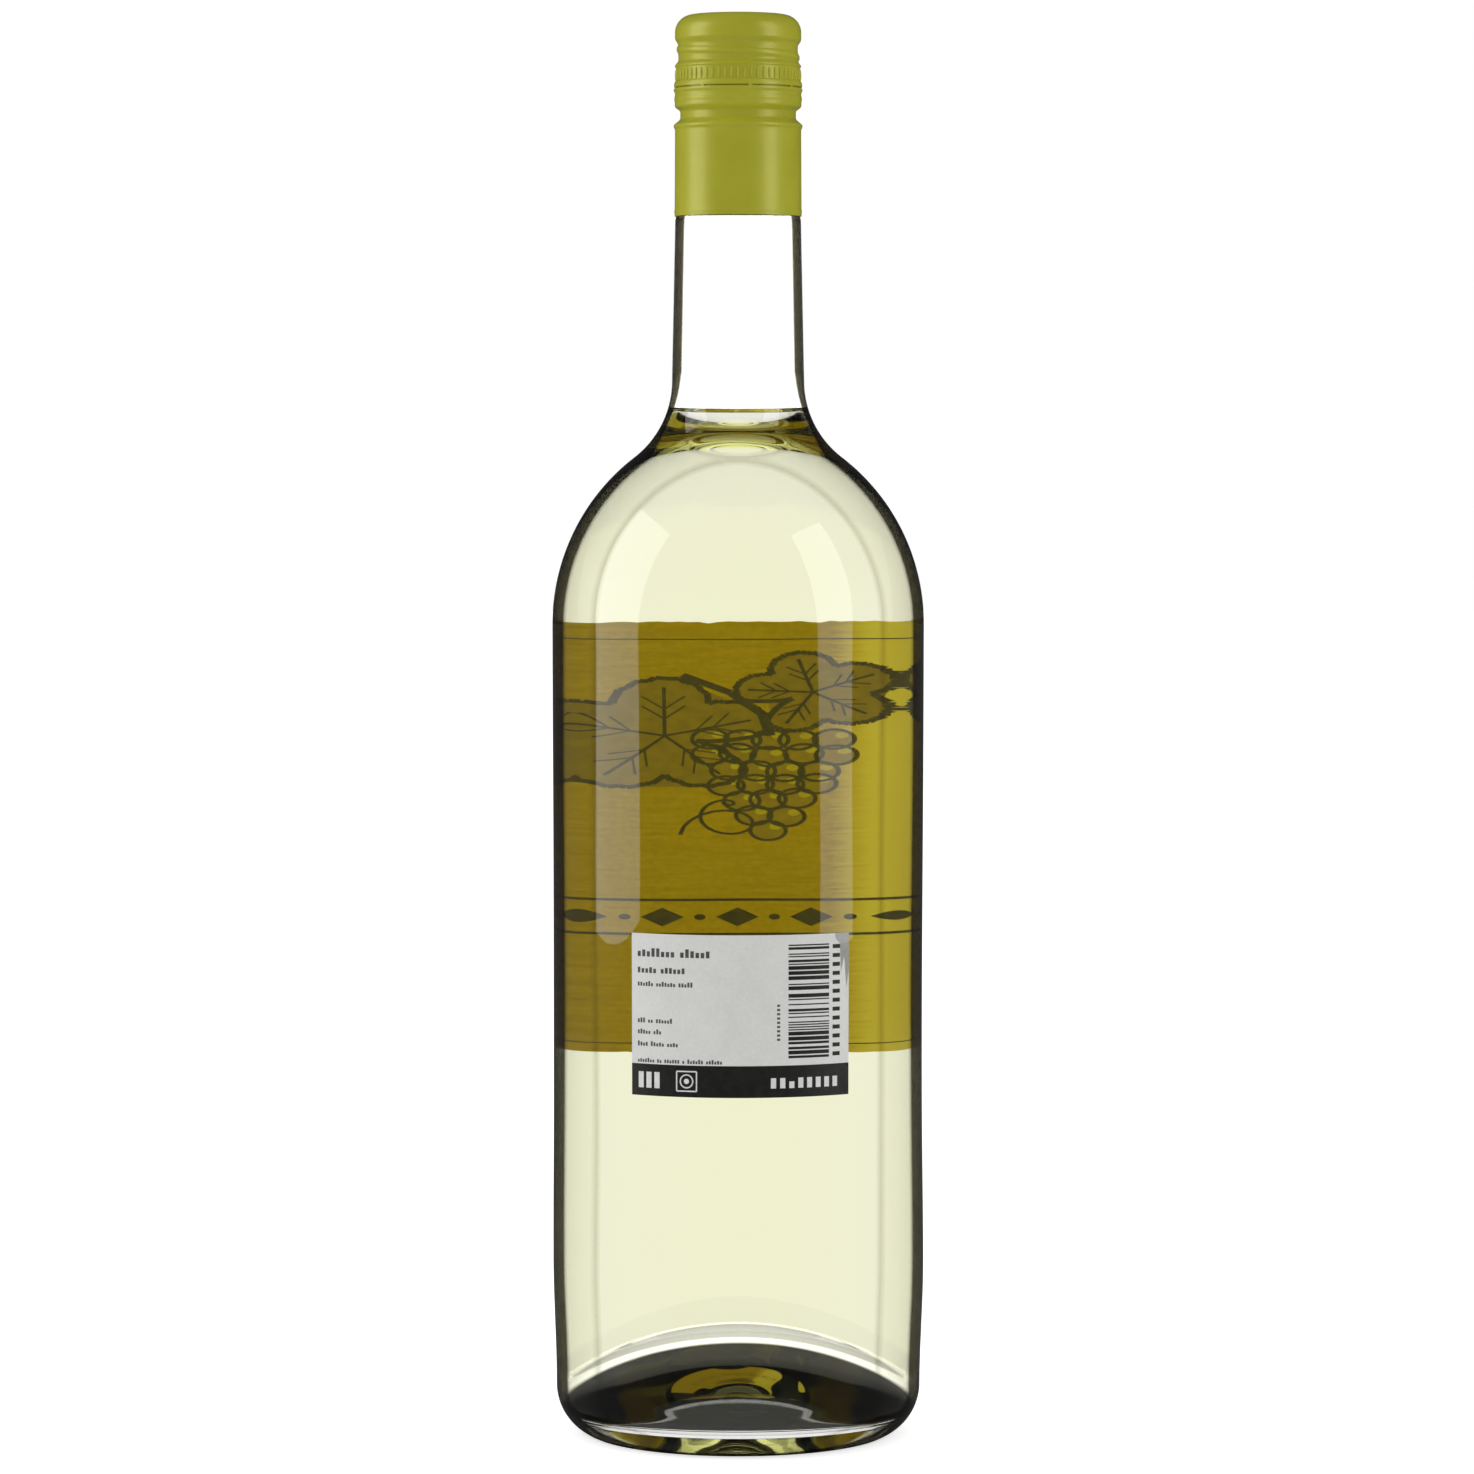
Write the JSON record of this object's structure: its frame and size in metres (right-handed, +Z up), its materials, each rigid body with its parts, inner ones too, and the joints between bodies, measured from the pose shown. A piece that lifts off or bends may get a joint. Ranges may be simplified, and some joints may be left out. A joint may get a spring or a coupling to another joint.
{
  "type": "wine bottle",
  "caption": "Clear glass bottle of white wine with a domed base, an aluminium screw closure and two paper labels.",
  "frame": {"origin": "centre of the base, on the plane the bottle stands on", "axes": "+Z up along the bottle, -Y towards the back label, +Y towards the front label"},
  "size_m": [0.085, 0.0852, 0.324],
  "materials": {
    "glass": "clear flint glass, polished",
    "wine": "clear pale yellow liquid",
    "closure": "satin yellow-green lacquer on aluminium",
    "front_paper": "uncoated laid paper, printed",
    "back_paper": "coated paper, printed"
  },
  "bodies": {
    "root": {"bottle": "glass", "wine": "wine", "closure": "closure", "front_label": "front_paper", "back_label": "back_paper"}
  },
  "joints": []
}
